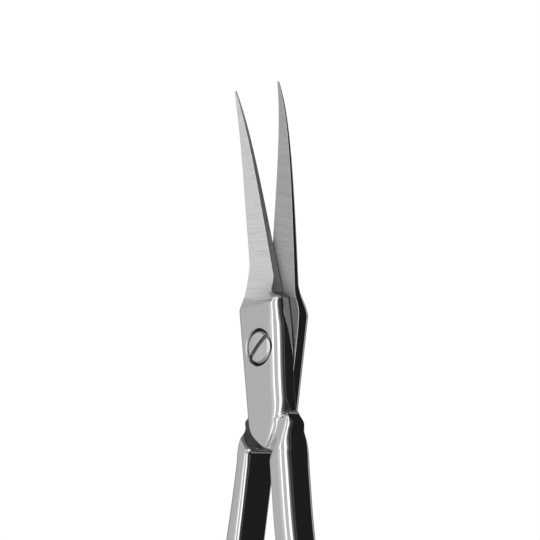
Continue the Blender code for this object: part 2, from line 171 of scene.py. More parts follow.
def bake(obj: bpy.types.Object) -> None:
    """Turns an object's modifiers into its mesh.

    Args:
        obj: The object.
    """
    mesh = baked(obj)
    obj.modifiers.clear()
    obj.data = mesh


def apply_booleans(obj: bpy.types.Object, steps: list[tuple[bpy.types.Object, str]]) -> None:
    """Joins and cuts a piece, and removes the tools.

    Args:
        obj: Piece to change.
        steps: Tool and operation, in order.
    """
    for tool, operation in steps:
        modifier = obj.modifiers.new(tool.name, "BOOLEAN")
        modifier.operation = operation
        modifier.solver = "EXACT"
        modifier.object = tool
    bake(obj)
    for tool, _ in steps:
        bpy.data.objects.remove(tool)


def shade(mesh: bpy.types.Mesh, angle: float) -> None:
    """Shades the mesh smooth, with edges over an angle kept sharp."""
    mesh.shade_smooth()
    mesh.set_sharp_from_angle(angle=angle)


class Wiring:
    """Adds nodes to one tree and wires them up as they are made."""

    def __init__(self, tree: bpy.types.NodeTree) -> None:
        """Takes the tree that the nodes go into."""
        self.nodes, self.links = tree.nodes, tree.links

    def feed(self, node: bpy.types.Node, inputs: dict[int | str, object]) -> None:
        """Sets or links inputs of a node.

        Args:
            node: The node.
            inputs: Name or number of each input, with the socket that feeds it or its constant value.
        """
        for key, value in inputs.items():
            if isinstance(value, bpy.types.NodeSocket):
                self.links.new(value, node.inputs[key])
            else:
                node.inputs[key].default_value = value

    def add(self, kind: str, inputs: dict[int | str, object] | None = None, **options: object) -> bpy.types.Node:
        """Adds a node.

        Args:
            kind: Name of its type.
            inputs: What goes into it, as for feed.
            **options: Its own settings, made before its inputs.

        Returns:
            The new node.
        """
        node = self.nodes.new(kind)
        for option, value in options.items():
            setattr(node, option, value)
        self.feed(node, inputs or {})
        return node

    def math(self, operation: str, *values: object, clamp: bool = False) -> bpy.types.NodeSocket:
        """Adds a Math node for numbers or sockets, and returns its result."""
        inputs = dict(enumerate(values))
        return self.add("ShaderNodeMath", inputs, operation=operation, use_clamp=clamp).outputs[0]

    def camera_sees(self, shown: bpy.types.NodeSocket, lit: bpy.types.NodeSocket) -> bpy.types.NodeSocket:
        """Mixes a shader that the camera sees with one that lights and shows in the steel."""
        path = self.add("ShaderNodeLightPath")
        return self.add("ShaderNodeMixShader", {0: path.outputs["Is Camera Ray"], 1: lit, 2: shown}).outputs[0]


@dataclass(frozen=True)
class Blade:
    """Curved, tapering blade and the shearing surface that both blades share."""

    reach: float = 25.28
    spine: float = 2.41
    spine_power: float = 0.64
    edge: float = 2.01
    edge_power: float = 0.97
    tip_blunt: float = 0.2
    tip_thickness: float = 0.14
    tip_grind: float = 2.0
    thickness_tip: float = 0.16
    thickness_pivot: float = 0.82
    bevel_slant: float = 0.24
    curve_start: float = 2.5
    curve_ease: float = 1.5
    curve_rise: float = 2.29
    curve_hook: float = 0.77
    curve_hook_power: float = 6.5

    def shear_rise(self, radius: float) -> float:
        """Height of the shearing surface over the lap plane.

        Args:
            radius: Distance from the pivot.

        Returns:
            The height, in millimetres.
        """
        reach, ease = self.reach - self.curve_start, self.curve_ease
        out = max(radius - self.curve_start, 0.0)
        eased = out * out / (2 * ease) if out < ease else out - ease / 2
        hook = self.curve_hook * (out / reach) ** self.curve_hook_power
        return self.curve_rise * eased / (reach - ease / 2) + hook

    def left(self, y: float) -> float:
        """What is left of the blade from a place along it to its tip."""
        return max(self.reach - y, 0.0)

    def spine_width(self, y: float) -> float:
        """Distance of the blade's back from the tip line."""
        return self.spine * (self.left(y) / self.reach) ** self.spine_power

    def edge_line(self, y: float) -> float:
        """Distance of the cutting edge from the tip line."""
        return self.edge * (self.left(y) / self.reach) ** self.edge_power

    def thickness(self, y: float) -> float:
        """Thickness of the blade, ground thinner at the very tip."""
        full = self.thickness_tip + (self.thickness_pivot - self.thickness_tip) * self.left(y) / self.reach
        return self.tip_thickness + (full - self.tip_thickness) * min(self.left(y) / self.tip_grind, 1.0)


@dataclass(frozen=True)
class Joint:
    """Lapped plates round the pivot, with the ramps down to the blades and the ground facet."""

    height: float = 3.85
    lap: float = 1.5
    clearance: float = 0.08
    spine_width: float = 2.63
    spine_taper: float = 0.03
    edge_width: float = 2.48
    waist_width: float = 2.12
    waist_span: Point = (3.0, -4.5)
    shoulder_foot: float = 3.5
    shoulder_top: float = 5.6
    upper_ramp: Point = (4.0, 8.5)
    upper_ramp_edge_top: float = 6.6
    upper_ramp_power: float = 1.2
    lower_ramp: Point = (3.3, 6.2)
    lower_ramp_power: float = 1.3
    bevel_end: float = 4.4
    bevel_start: float = 5.2
    shear_end: float = 4.9
    facet_end: float = -0.4
    facet_full: float = 2.6
    facet_height: float = 0.8
    facet_reach: float = 0.12
    edge_corner: float = 1.4
    spine_corner: float = 0.5
    back_corner: float = 0.65
    lap_corner: float = 0.04
    satin_end: float = 2.5
    blade_corner: float = 0.03
    blade_back_share: float = 0.42

    def plate_spine(self, y: float) -> float:
        """Distance of the joint plate's spine side from the tip line."""
        return self.spine_width + self.spine_taper * y

    def plate_share(self, y: float) -> float:
        """How far the joint's shoulder has set in, from 0 on the blade to 1 on the plate."""
        return progress(y, self.shoulder_top, self.shoulder_foot)


@dataclass(frozen=True)
class Throat:
    """Where each half grows from its lap to full thickness, round the other half's plate."""

    span: Point = (-6.9, -10.25)
    turn_power: float = 1.45
    opening: float = -5.6
    clearance: float = 0.15
    round: float = 0.7
    fillets: dict[Side, float] = field(default_factory=lambda: {Side.UPPER: 0.5, Side.LOWER: 1.0})
    rises: dict[Side, Point] = field(default_factory=lambda: {Side.UPPER: (-6.75, -11.4), Side.LOWER: (-6.3, -10.6)})
    powers: dict[Side, float] = field(default_factory=lambda: {Side.UPPER: 2.2, Side.LOWER: 2.0})
    nose_tip: float = -6.2
    nose_round: float = 0.9
    nose_bulge: float = 0.5
    front: float = 0.6
    crest_length: float = 1.3
    nose_end: float = -8.8
    machined_depth: float = 0.25

    def opened(self, y: float) -> float:
        """How far the throat's shape has set in, from 0 at the plate to 1 where its side turns in."""
        return blend(0.0, 1.0, progress(y, self.opening, self.span[0]))

    def nose_fall(self, y: float) -> float:
        """Share by which the shank's round front end falls back at its tip, from 1 at the tip to 0."""
        return 1 - math.sqrt(1 - progress(y, self.nose_tip - self.nose_round, self.nose_tip) ** 2)


@dataclass(frozen=True)
class Plateau:
    """Round edge of the joint's front, which runs across the throat above a groove."""

    turn: float = -5.0
    bow: float = 0.1
    corner: float = 1.4
    corner_taper: float = 0.2
    corner_ease: float = 0.3
    corner_end: float = 0.5
    wall: float = 4.0
    groove_depth: float = 0.42
    groove_length: float = 1.1
    groove_fillet: float = 0.16
    eased_across: Point = (-0.6, 2.6)
    eased_along: Point = (-10.4, -6.85)
    eased_above: float = 2.8
    eased_passes: int = 2

    def fall(self, x: float, y: float, waist: float) -> Point:
        """The plateau's round edge, without the groove.

        Args:
            x: Place across the tool.
            y: Place along it.
            waist: X of the joint plate's side.

        Returns:
            Depth of the edge under the joint's flat, and the distance past the plateau's side.
        """
        turned = max(self.turn - y, 0.0)
        across = (x - waist + self.bow * turned**2) / math.hypot(1.0, 2 * self.bow * turned)
        tapered = turned * turned / (turned + self.corner_ease)
        radius = max(self.corner - self.corner_taper * tapered, self.corner_end)
        edge = min(max(across + radius, 0.0), radius)
        return radius - math.sqrt(radius**2 - edge**2) + self.wall * max(across, 0.0), across

    def drop(self, x: float, y: float, waist: float, nose: float) -> float:
        """How far the outside face lies under the joint's flat: the plateau's edge, a groove, the shank.

        Args:
            x: Place across the tool.
            y: Place along it.
            waist: X of the joint plate's side.
            nose: Depth of the shank's own face there.

        Returns:
            The depth, in millimetres.
        """
        if y > self.turn:
            return 0.0
        plateau, across = self.fall(x, y, waist)
        shank = nose + blend(self.groove_depth, 0.0, across / self.groove_length)
        near = max(self.groove_fillet - abs(plateau - shank), 0.0) / self.groove_fillet
        return max(min(plateau, shank) - near**2 * self.groove_fillet / 4, 0.0)


@dataclass(frozen=True)
class Shank:
    """Straight shank with its outward flare into the finger loop."""

    starts: dict[Side, Point] = field(default_factory=lambda: {Side.UPPER: (0.27, 2.2), Side.LOWER: (0.57, 2.15)})
    swells: dict[Side, Point] = field(default_factory=lambda: {Side.UPPER: (-15.0, -30.0), Side.LOWER: (-9.0, -26.0)})
    bar: Point = (1.1, 3.1)
    loop_inner: float = 0.5
    return_span: Point = (-28.0, -44.0)
    flare_start: float = -33.0
    flare_length: float = 9.0
    flare: float = 2.7
    lean: float = 0.3
    lean_start: float = -44.0
    tail_start: float = -45.0
    tail_share: float = 0.63
    drop: float = 0.12
    crest_corner: float = 1.4
    edge_corner: float = 0.7
    sharp_corner: float = 0.3
    corner_span: Point = (-7.3, -11.6)
    crease_angle: float = math.radians(18)
    crease_reach: float = 10.0
    crease_rings: int = 5
    crease_passes: int = 30

    def sides(self, y: float, side: Side) -> Point:
        """Sides of the plain bar, without its flare.

        Args:
            y: Place along the tool.
            side: Which half's shank.

        Returns:
            X of its inner and of its outer side.
        """
        swelling = blend(0.0, 1.0, progress(y, *self.swells[side]))
        inner, outer = (start + (bar - start) * swelling for start, bar in zip(self.starts[side], self.bar))
        return blend(inner, self.loop_inner, progress(y, *self.return_span)), outer


@dataclass(frozen=True)
class FingerLoop:
    """Oval finger loop: a rounded bar swept round an oval by Geometry Nodes."""

    width: float = 24.5
    length: float = 31.0
    centre_y: float = -54.5
    wall: float = 2.6
    thickness: float = 3.5
    power: float = 2.6
    tail_inset: float = 2.0
    steps: int = 240
    profile_steps: int = 56

    def centre_x(self, inner: float) -> float:
        """X of the loop's centre, with its inner side on the shank's inner line."""
        return inner + self.width / 2

    def midline_x(self, y: float, inner: float) -> float:
        """Inner side of the loop's midline at a place along the tool."""
        share = min(abs(y - self.centre_y) / (self.length / 2 - self.wall / 2), 1.0)
        return self.centre_x(inner) - (self.width / 2 - self.wall / 2) * math.sqrt(1 - share * share)

    def tree(self) -> bpy.types.NodeTree:
        """Geometry Nodes tree that sweeps the rounded bar round the oval.

        Returns:
            A geometry node group with the loop's sizes as named inputs, in metres.
        """
        tree = bpy.data.node_groups.new("finger_loop_bar", "GeometryNodeTree")
        tree.interface.new_socket("Geometry", in_out="OUTPUT", socket_type="NodeSocketGeometry")
        kinds = dict.fromkeys(("Half Width", "Half Length", "Half Wall", "Half Thickness", "Roundness"), "Float")
        for name, kind in (kinds | {"Centre": "Vector", "Material": "Material"}).items():
            tree.interface.new_socket(name, in_out="INPUT", socket_type="NodeSocket" + kind)
        wiring = Wiring(tree)
        given = wiring.add("NodeGroupInput").outputs

        oval = wiring.add("GeometryNodeCurvePrimitiveCircle", {"Resolution": self.steps, "Radius": 1.0})
        stretch = wiring.add("ShaderNodeCombineXYZ", {0: given["Half Width"], 1: given["Half Length"]})
        placed = {"Geometry": oval.outputs["Curve"], "Scale": stretch.outputs[0], "Translation": given["Centre"]}
        path = wiring.add("GeometryNodeTransform", placed)

        bar = wiring.add("GeometryNodeCurvePrimitiveCircle", {"Resolution": self.profile_steps, "Radius": 1.0})
        position = wiring.add("GeometryNodeInputPosition")
        parts = wiring.add("ShaderNodeSeparateXYZ", {0: position.outputs[0]}).outputs
        rounded = {}
        for axis, size in enumerate(("Half Wall", "Half Thickness")):
            power = wiring.math("POWER", wiring.math("ABSOLUTE", parts[axis]), given["Roundness"])
            signed = wiring.math("MULTIPLY", power, wiring.math("SIGN", parts[axis]))
            rounded[axis] = wiring.math("MULTIPLY", signed, given[size])
        corner = wiring.add("ShaderNodeCombineXYZ", rounded).outputs[0]
        profile = wiring.add("GeometryNodeSetPosition", {"Geometry": bar.outputs["Curve"], "Position": corner})

        swept = {"Curve": path.outputs["Geometry"], "Profile Curve": profile.outputs["Geometry"]}
        sweep = wiring.add("GeometryNodeCurveToMesh", swept)
        real = wiring.add("GeometryNodeRealizeInstances", {"Geometry": sweep.outputs["Mesh"]})
        dressing = {"Geometry": real.outputs["Geometry"], "Material": given["Material"]}
        dressed = wiring.add("GeometryNodeSetMaterial", dressing)
        wiring.add("NodeGroupOutput", {"Geometry": dressed.outputs["Geometry"]})
        return tree

    def mesh(self, inner: float, height: float, material: bpy.types.Material) -> bpy.types.Mesh:
        """Sweeps the loop's bar and returns it as a plain mesh.

        Args:
            inner: X of the shank's inner line, in millimetres.
            height: Height of the loop's middle, in millimetres.
            material: Finish that the tree sets.

        Returns:
            A closed mesh in metres, in the half's own frame.
        """
        tree = bpy.data.node_groups.get("finger_loop_bar") or self.tree()
        holder = add_object("loop_holder", bpy.data.meshes.new("loop_holder"), [])
        modifier = holder.modifiers.new("bar", "NODES")
        modifier.node_group = tree
        values = {
            "Half Width": (self.width - self.wall) / 2 * MM,
            "Half Length": (self.length - self.wall) / 2 * MM,
            "Half Wall": self.wall / 2 * MM,
            "Half Thickness": self.thickness / 2 * MM,
            "Roundness": 2 / self.power,
            "Centre": (self.centre_x(inner) * MM, self.centre_y * MM, height * MM),
            "Material": material,
        }
        for item in tree.interface.items_tree:
            if item.in_out == "INPUT":
                modifier[item.identifier] = values[item.name]
        mesh = baked(holder)
        bpy.data.objects.remove(holder)
        model = bmesh.new()
        model.from_mesh(mesh)
        bmesh.ops.remove_doubles(model, verts=model.verts, dist=MERGE_DISTANCE)
        bmesh.ops.recalc_face_normals(model, faces=model.faces)
        return written(model, mesh)


@dataclass(frozen=True)
class Fineness:
    """Numbers of sections and of points on each stretch of a section."""

    blade: int = 80
    ramp: int = 56
    joint: int = 44
    notch: int = 20
    nose: int = 44
    throat: int = 84
    shank: int = 40
    tail: int = 60
    lap: int = 40
    corner: int = 12
    wall: int = 6
    outside: int = 84
    corner_share: float = 0.45
    pair_share: float = 0.8
    tip_crowding: float = 1.3
    nose_crowding: float = 2.0


@dataclass
class Half:
    """One forged half: blade, joint plate, shank and finger loop."""

    side: Side
    blade: Blade = field(default_factory=Blade)
    joint: Joint = field(default_factory=Joint)
    throat: Throat = field(default_factory=Throat)
    plateau: Plateau = field(default_factory=Plateau)
    shank: Shank = field(default_factory=Shank)
    loop: FingerLoop = field(default_factory=FingerLoop)
    fineness: Fineness = field(default_factory=Fineness)
    open_angle: float = math.radians(6.845)
    sharp_angle: float = math.radians(32)

    @property
    def upper(self) -> bool:
        """Whether this half lies under the screw's head."""
        return self.side is Side.UPPER

    @property
    def other(self) -> Side:
        """The half that this one works against."""
        return Side.LOWER if self.upper else Side.UPPER

    @property
    def name(self) -> str:
        """Name of the piece, its body and its slot."""
        return "upper_half" if self.upper else "lower_half"

    def spine_side(self, y: float) -> float:
        """Distance of the blade's back from the tip line, growing to the joint plate's side."""
        return blend(self.blade.spine_width(y), self.joint.plate_spine(y), self.joint.plate_share(y))

    def plate_inner(self, y: float, side: Side) -> float:
        """Spine side of a joint plate, which runs across the throat to its shank's inner side."""
        across = progress(y, *self.throat.span) ** self.throat.turn_power
        return blend(-self.joint.plate_spine(y), self.shank.sides(y, side)[0], across)

    def inner_side(self, y: float) -> float:
        """X of the side away from the cutting edge."""
        lean = self.shank.lean * progress(y, self.shank.lean_start, self.loop.centre_y)
        return -self.spine_side(y) if y > 0 else self.plate_inner(y, self.side) + lean

    def outer_side(self, y: float) -> float:
        """The side wall on the cutting side: joint plate, then the shank from its round front end.

        Args:
            y: Place along the tool.

        Returns:
            X of the wall.
        """
        joint, throat, shank, loop = self.joint, self.throat, self.shank, self.loop
        plate = blend(joint.edge_width, joint.waist_width, progress(y, *joint.waist_span))
        nose = progress(y, throat.nose_tip - throat.nose_round, throat.nose_end)
        full = shank.sides(y, self.side)[1] + blend(throat.nose_bulge, 0.0, nose)
        side = full + (plate - full) * throat.nose_fall(y)
        flare = max(shank.flare_start - y, 0.0) / shank.flare_length
        side += shank.flare * flare**3
        if y < loop.centre_y + loop.length / 2 - loop.wall:
            side = min(side, loop.midline_x(y, shank.loop_inner))
        return side

    def throat_rise(self, x: float, y: float, full_rise: float) -> float:
        """Height gained over the lap: a fillet round the other plate, then a wall with a round top.

        Args:
            x: Place across the tool.
            y: Place along it.
            full_rise: Height of the wall where the shank is whole.

        Returns:
            The height, in millimetres.
        """
        throat = self.throat
        opened = throat.opened(y)
        if opened == 0:
            return 0.0
        height = full_rise * (1 - (1 - progress(y, *throat.rises[self.side])) ** throat.powers[self.side])
        past = x + self.plate_inner(y, self.other) - throat.clearance
        radius = min(throat.fillets[self.side] * opened, height)
        rise = radius - math.sqrt(radius**2 - min(max(past + radius, 0.0), radius) ** 2)
        wall = math.sqrt(1 - (1 - min(max(past, 0.0) / throat.round, 1.0)) ** 2)
        return rise + (height - rise) * wall

    def tail_sink(self, y: float) -> float:
        """How far each face of the shank draws in as the shank runs into its loop."""
        sink = (self.joint.height - self.shank.drop - self.shank.tail_share * self.loop.thickness) / 2
        return blend(0.0, sink, progress(y, self.shank.tail_start, self.loop.centre_y + self.loop.tail_inset))

    def lap_surface(self, x: float, y: float) -> float:
        """Height of this half's shearing face."""
        offset = self.side.value * self.joint.clearance / 2
        return self.joint.lap + offset + self.blade.shear_rise(math.hypot(x, y)) * (y > 0)

    def lap_face(self, x: float, y: float) -> float:
        """The face towards the other half, from the blade to the shank.

        Args:
            x: Place across the tool.
            y: Place along it.

        Returns:
            Its height there.
        """
        lap = self.lap_surface(x, y)
        if self.upper:
            return lap - self.throat_rise(x, y, lap) + self.tail_sink(y)
        height = self.joint.height - self.shank.drop - lap
        return lap + self.throat_rise(x, y, height) - self.tail_sink(y)

    def outside_face(self, x: float, y: float) -> float:
        """The face away from the other half.

        Args:
            x: Place across the tool.
            y: Place along it.

        Returns:
            Its height there.
        """
        joint, throat = self.joint, self.throat
        if self.upper:
            foot, top = joint.upper_ramp
            if y <= foot:
                nose = self.shank.drop + (joint.height - joint.lap) * throat.nose_fall(y)
                return joint.height - self.plateau.drop(x, y, joint.waist_width, nose) - self.tail_sink(y)
            face = self.lap_surface(x, y) + self.blade.thickness(y)
            across = progress(x, -self.spine_side(y), self.blade.edge_line(y))
            top += (joint.upper_ramp_edge_top - top) * across
            return face + (joint.height - face) * progress(y, top, foot) ** joint.upper_ramp_power
        foot, top = joint.lower_ramp
        if y <= foot:
            return self.tail_sink(y)
        face = self.lap_surface(x, y) - self.blade.thickness(y)
        return face * (1 - progress(y, top, foot) ** joint.lower_ramp_power)

    def corner_radii(self, y: float) -> tuple[float, float, float, float]:
        """Radii of the section's corners.

        Args:
            y: Place along the tool.

        Returns:
            The corners at the lap's inner and outer side, and at the outside face's inner and outer side.
        """
        joint, throat, shank = self.joint, self.throat, self.shank
        plate, bar = joint.plate_share(y), progress(y, *shank.corner_span)
        lap = blend(joint.blade_corner, joint.lap_corner, plate)
        nested = blend(lap, throat.fillets[self.other], throat.opened(y))
        inside, outside = (joint.spine_corner, joint.edge_corner) if self.upper else (joint.back_corner,) * 2
        back = joint.blade_corner if self.upper else joint.blade_back_share * self.blade.thickness(y)
        return (
            blend(nested, shank.edge_corner, progress(y, throat.span[1], shank.corner_span[1])),
            blend(lap, shank.edge_corner, bar),
            blend(blend(back, inside, plate), shank.sharp_corner, bar),
            blend(blend(joint.blade_corner, outside, plate), shank.crest_corner, bar),
        )

    def crest_share(self, y: float) -> float:
        """Share of the outside corner that the section rounds by itself, where the plateau's edge doesn't.

        Args:
            y: Place along the tool.

        Returns:
            The share, 1 but for the upper half below its plateau's turn, where it grows back from 0.
        """
        if not self.upper or y > self.plateau.turn:
            return 1.0
        tip = self.throat.nose_tip
        return blend(0.0, 1.0, progress(y, tip, tip - self.throat.crest_length))

    def lap_finish(self, y: float, depth: float) -> Finish:
        """Finish of the face towards the other half.

        Args:
            y: Place along the tool.
            depth: How far the face lies there from its height at the side wall.

        Returns:
            The finish: ground on the blade, a darker tone on the lap as painted shade from the other half, machined in
                the throat's recess.
        """
        if y >= self.throat.nose_tip:
            # Between the blade and the throat the lap face takes a darker colour, as painted shade from the other half.
            return Finish.SHEAR if y > self.joint.shear_end else Finish.LAP
        return Finish.MACHINED if depth > self.throat.machined_depth else Finish.POLISHED

    def fitted(self, inner: float, outer: float, width: float) -> Point:
        """Corner reaches on one face, scaled together where the face is too narrow for both."""
        share = min(self.fineness.pair_share * width / (inner + outer), 1.0)
        return inner * share, outer * share

    def section(self, y: float) -> Outline:
        """Closed outline of the half at one place along it.

        Args:
            y: Place along the tool, in millimetres.

        Returns:
            Points as (x, z, finish of the stretch that starts there), lap face first.
        """
        joint, blade, fine = self.joint, self.blade, self.fineness
        inner, wall = self.inner_side(y), self.outer_side(y)
        out = self.side.value
        lap_inner, lap_outer, outside_inner, outside_outer = self.corner_radii(y)
        foot, top, facet = wall, wall, 0.0
        reach, rise = lap_outer, lap_outer
        if y > joint.facet_end:
            plate = progress(y, joint.bevel_start, joint.bevel_end)
            facet = plate * progress(y, joint.facet_end, joint.facet_full)
            foot = blend(blade.edge_line(y) + lap_outer, wall, plate)
            top = blend(blade.edge_line(y) - blade.bevel_slant * blade.thickness(y), wall, plate)
            reach += joint.facet_reach * facet
            rise += joint.facet_height * facet

        lap, outside = self.lap_face, self.outside_face
        depth = abs(outside(wall, y) - lap(wall, y))
        inner_depth = abs(outside(inner, y) - lap(inner, y))
        share = fine.corner_share
        lap_inner, reach = self.fitted(min(lap_inner, inner_depth * share), reach, foot - inner)
        rise = min(rise, depth * share)
        crest_depth = joint.height - joint.lap if self.upper and y <= self.plateau.turn else depth
        outside_outer = min(outside_outer, 2 * crest_depth * share - rise)
        outside_inner = min(outside_inner, 2 * inner_depth * share - lap_inner)
        outside_inner, outside_outer = self.fitted(outside_inner, outside_outer, top - inner)
        fall = outside_outer * self.crest_share(y)

        points: Outline = []
        full = lap(wall, y)
        # On the blade the side wall is the cutting bevel, whose dark colour is painted shade.
        side_finish = Finish.BEVEL if y > joint.bevel_end else Finish.POLISHED
        edge_finish = Finish.FACET if joint.facet_end < y <= joint.bevel_end and self.upper else side_finish
        face_finish = Finish.SATIN if y > joint.satin_end else Finish.POLISHED
        turns = [math.pi / 2 * step / fine.corner for step in range(fine.corner + 1)]

        # The lap face, the corner or facet at its cutting side, and the side wall.
        start, end = inner + lap_inner, foot - reach
        for step in range(1, fine.lap):
            x = start + (end - start) * step / fine.lap
            z = lap(x, y)
            lap_finish = self.lap_finish(y, abs(full - z))
            points.append((x, z, lap_finish))
        for step, turn in enumerate(turns):
            flat = step / fine.corner
            across = math.sin(turn) + (flat - math.sin(turn)) * facet
            up = 1 - math.cos(turn) + (flat - 1 + math.cos(turn)) * facet
            points.append((end + reach * across, lap(end, y) + out * rise * up, edge_finish))
        self.straight(points, (top, outside(top, y) - out * fall), side_finish)
        # The outer corner and the outside face.
        for turn in turns:
            x = top - outside_outer * (1 - math.cos(turn))
            z = outside(x, y) - out * fall * (1 - math.sin(turn))
            points.append((x, z, face_finish))
        start, end = top - outside_outer, inner + outside_inner
        for step in range(1, fine.outside):
            x = start + (end - start) * step / fine.outside
            points.append((x, outside(x, y), face_finish))
        # The back's corner, the spine side, and the corner into the lap face.
        for turn in turns:
            x = inner + outside_inner * (1 - math.sin(turn))
            z = outside(x, y) - out * outside_inner * (1 - math.cos(turn))
            points.append((x, z, Finish.POLISHED))
        self.straight(points, (inner, lap(inner, y) + out * lap_inner), Finish.POLISHED)
        for turn in turns:
            x = inner + lap_inner * (1 - math.cos(turn))
            points.append((x, lap(x, y) + out * lap_inner * (1 - math.sin(turn)), Finish.POLISHED))
        points[-1] = (*points[-1][:2], lap_finish)
        return points

    def straight(self, points: Outline, end: Point, finish: Finish) -> None:
        """Adds points on a straight side, closer together near its two ends.

        Args:
            points: Outline so far; the side starts at its last point.
            end: Where the side ends, as (x, z).
            finish: Finish of the side.
        """
        x, z, _ = points[-1]
        points[-1] = (x, z, finish)
        for step in range(1, self.fineness.wall):
            share = (1 - math.cos(math.pi * step / self.fineness.wall)) / 2
            points.append((x + (end[0] - x) * share, z + (end[1] - z) * share, finish))

    def stations(self) -> list[float]:
        """Places of the sections.

        Returns:
            Each section's place along the tool, from the tip to the shank's tail inside the loop.
        """
        joint, throat, shank, fine = self.joint, self.throat, self.shank, self.fineness
        front = throat.nose_tip - throat.front
        stretches = (
            (self.blade.reach - self.blade.tip_blunt, fine.blade, fine.tip_crowding),
            (joint.upper_ramp[1], fine.ramp, 1.0),
            (joint.lower_ramp[0], fine.joint, 1.0),
            (throat.opening, fine.notch, 1.0),
            (throat.nose_tip, fine.nose, fine.nose_crowding),
            (front, fine.throat, 1.0),
            (shank.corner_span[1], fine.shank, 1.0),
            (shank.flare_start, fine.tail, 1.0),
        )
        tail = self.loop.centre_y + self.loop.tail_inset
        ends = [start for start, _, _ in stretches[1:]] + [tail]
        places = []
        for (start, steps, power), end in zip(stretches, ends):
            places += [start + (end - start) * (step / steps) ** power for step in range(steps)]
        return places + [tail]

    def body_mesh(self) -> bpy.types.Mesh:
        """Blade, joint plate and shank as a skin over the sections.

        Returns:
            A closed mesh in metres, in the half's own frame.
        """
        model = bmesh.new()
        rings, finishes = [], []
        for y in self.stations():
            outline = self.section(y)
            rings.append([model.verts.new((x * MM, y * MM, z * MM)) for x, z, _ in outline])
            finishes.append([finish for _, _, finish in outline])
        for first, second, marks in zip(rings, rings[1:], finishes[1:]):
            for i, mark in enumerate(marks):
                j = (i + 1) % len(first)
                corners = (first[i], first[j], second[j], second[i])
                face = model.faces.new(corners if self.upper else corners[::-1])
                face.material_index = mark.value
        caps = (rings[0][::-1], rings[-1]) if self.upper else (rings[0], rings[-1][::-1])
        for cap in caps:
            model.faces.new(cap)
        if self.upper:
            self.ease_groove(model)
        return written(model, bpy.data.meshes.new(self.name))

    def ease_groove(self, model: bmesh.types.BMesh) -> None:
        """Evens the height of the plateau's edge, its groove and the nose's crest, where they cross the mesh.

        Args:
            model: Model of the body, in metres.
        """
        plateau = self.plateau
        (left, right), (low, high) = plateau.eased_across, plateau.eased_along
        zone = []
        for vert in model.verts:
            x, y, z = (place / MM for place in vert.co)
            if left < x < right and low < y < high and z > plateau.eased_above:
                zone.append(vert)
        smooth(model, zone, plateau.eased_passes, level=False)

    def soften_creases(self, mesh: bpy.types.Mesh) -> None:
        """Rounds the creases where the shank runs into its loop.

        Args:
            mesh: Mesh of the half, in metres.
        """
        shank = self.shank
        model = bmesh.new()
        model.from_mesh(mesh)
        zone = {
            vert
            for edge in model.edges
            if len(edge.link_faces) == 2 and edge.calc_face_angle() > shank.crease_angle
            for vert in edge.verts
            if vert.co.y < (shank.tail_start + shank.crease_reach) * MM
        }
        for _ in range(shank.crease_rings):
            zone |= {edge.other_vert(vert) for vert in zone for edge in vert.link_edges}
        smooth(model, list(zone), shank.crease_passes)
        written(model, mesh)

    def place(self, mesh: bpy.types.Mesh) -> None:
        """Mirrors the lower half's mesh and turns either to the shown pose.

        Args:
            mesh: Mesh in the half's own frame.
        """
        if not self.upper:
            mesh.transform(Matrix.Scale(-1, 4, Vector((1, 0, 0))))
            mesh.flip_normals()
        mesh.transform(Matrix.Rotation(self.side.value * self.open_angle, 4, "Z"))

    def build(self, screw: Screw, steels: Steels) -> bpy.types.Object:
        """Builds the dressed half and hangs it on its body.

        Args:
            screw: The pivot screw, for the sizes of its seat and bore.
            steels: Materials in the order of Finish.

        Returns:
            The finished piece.
        """
        middle = (self.joint.height - self.shank.drop) / 2
        loop_mesh = self.loop.mesh(self.shank.loop_inner, middle, steels[Finish.POLISHED])
        loop = add_object("loop", loop_mesh, steels[1:])
        piece = add_object(self.name + "_steel", self.body_mesh(), steels)
        for obj in (piece, loop):
            self.place(obj.data)
        cutters = screw.cutters(self.upper, steels)
        apply_booleans(piece, [(loop, "UNION")] + [(cutter, "DIFFERENCE") for cutter in cutters])
        self.soften_creases(piece.data)
        shade(piece.data, self.sharp_angle)
        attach(piece, self.name)
        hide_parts(self.name)
        return piece


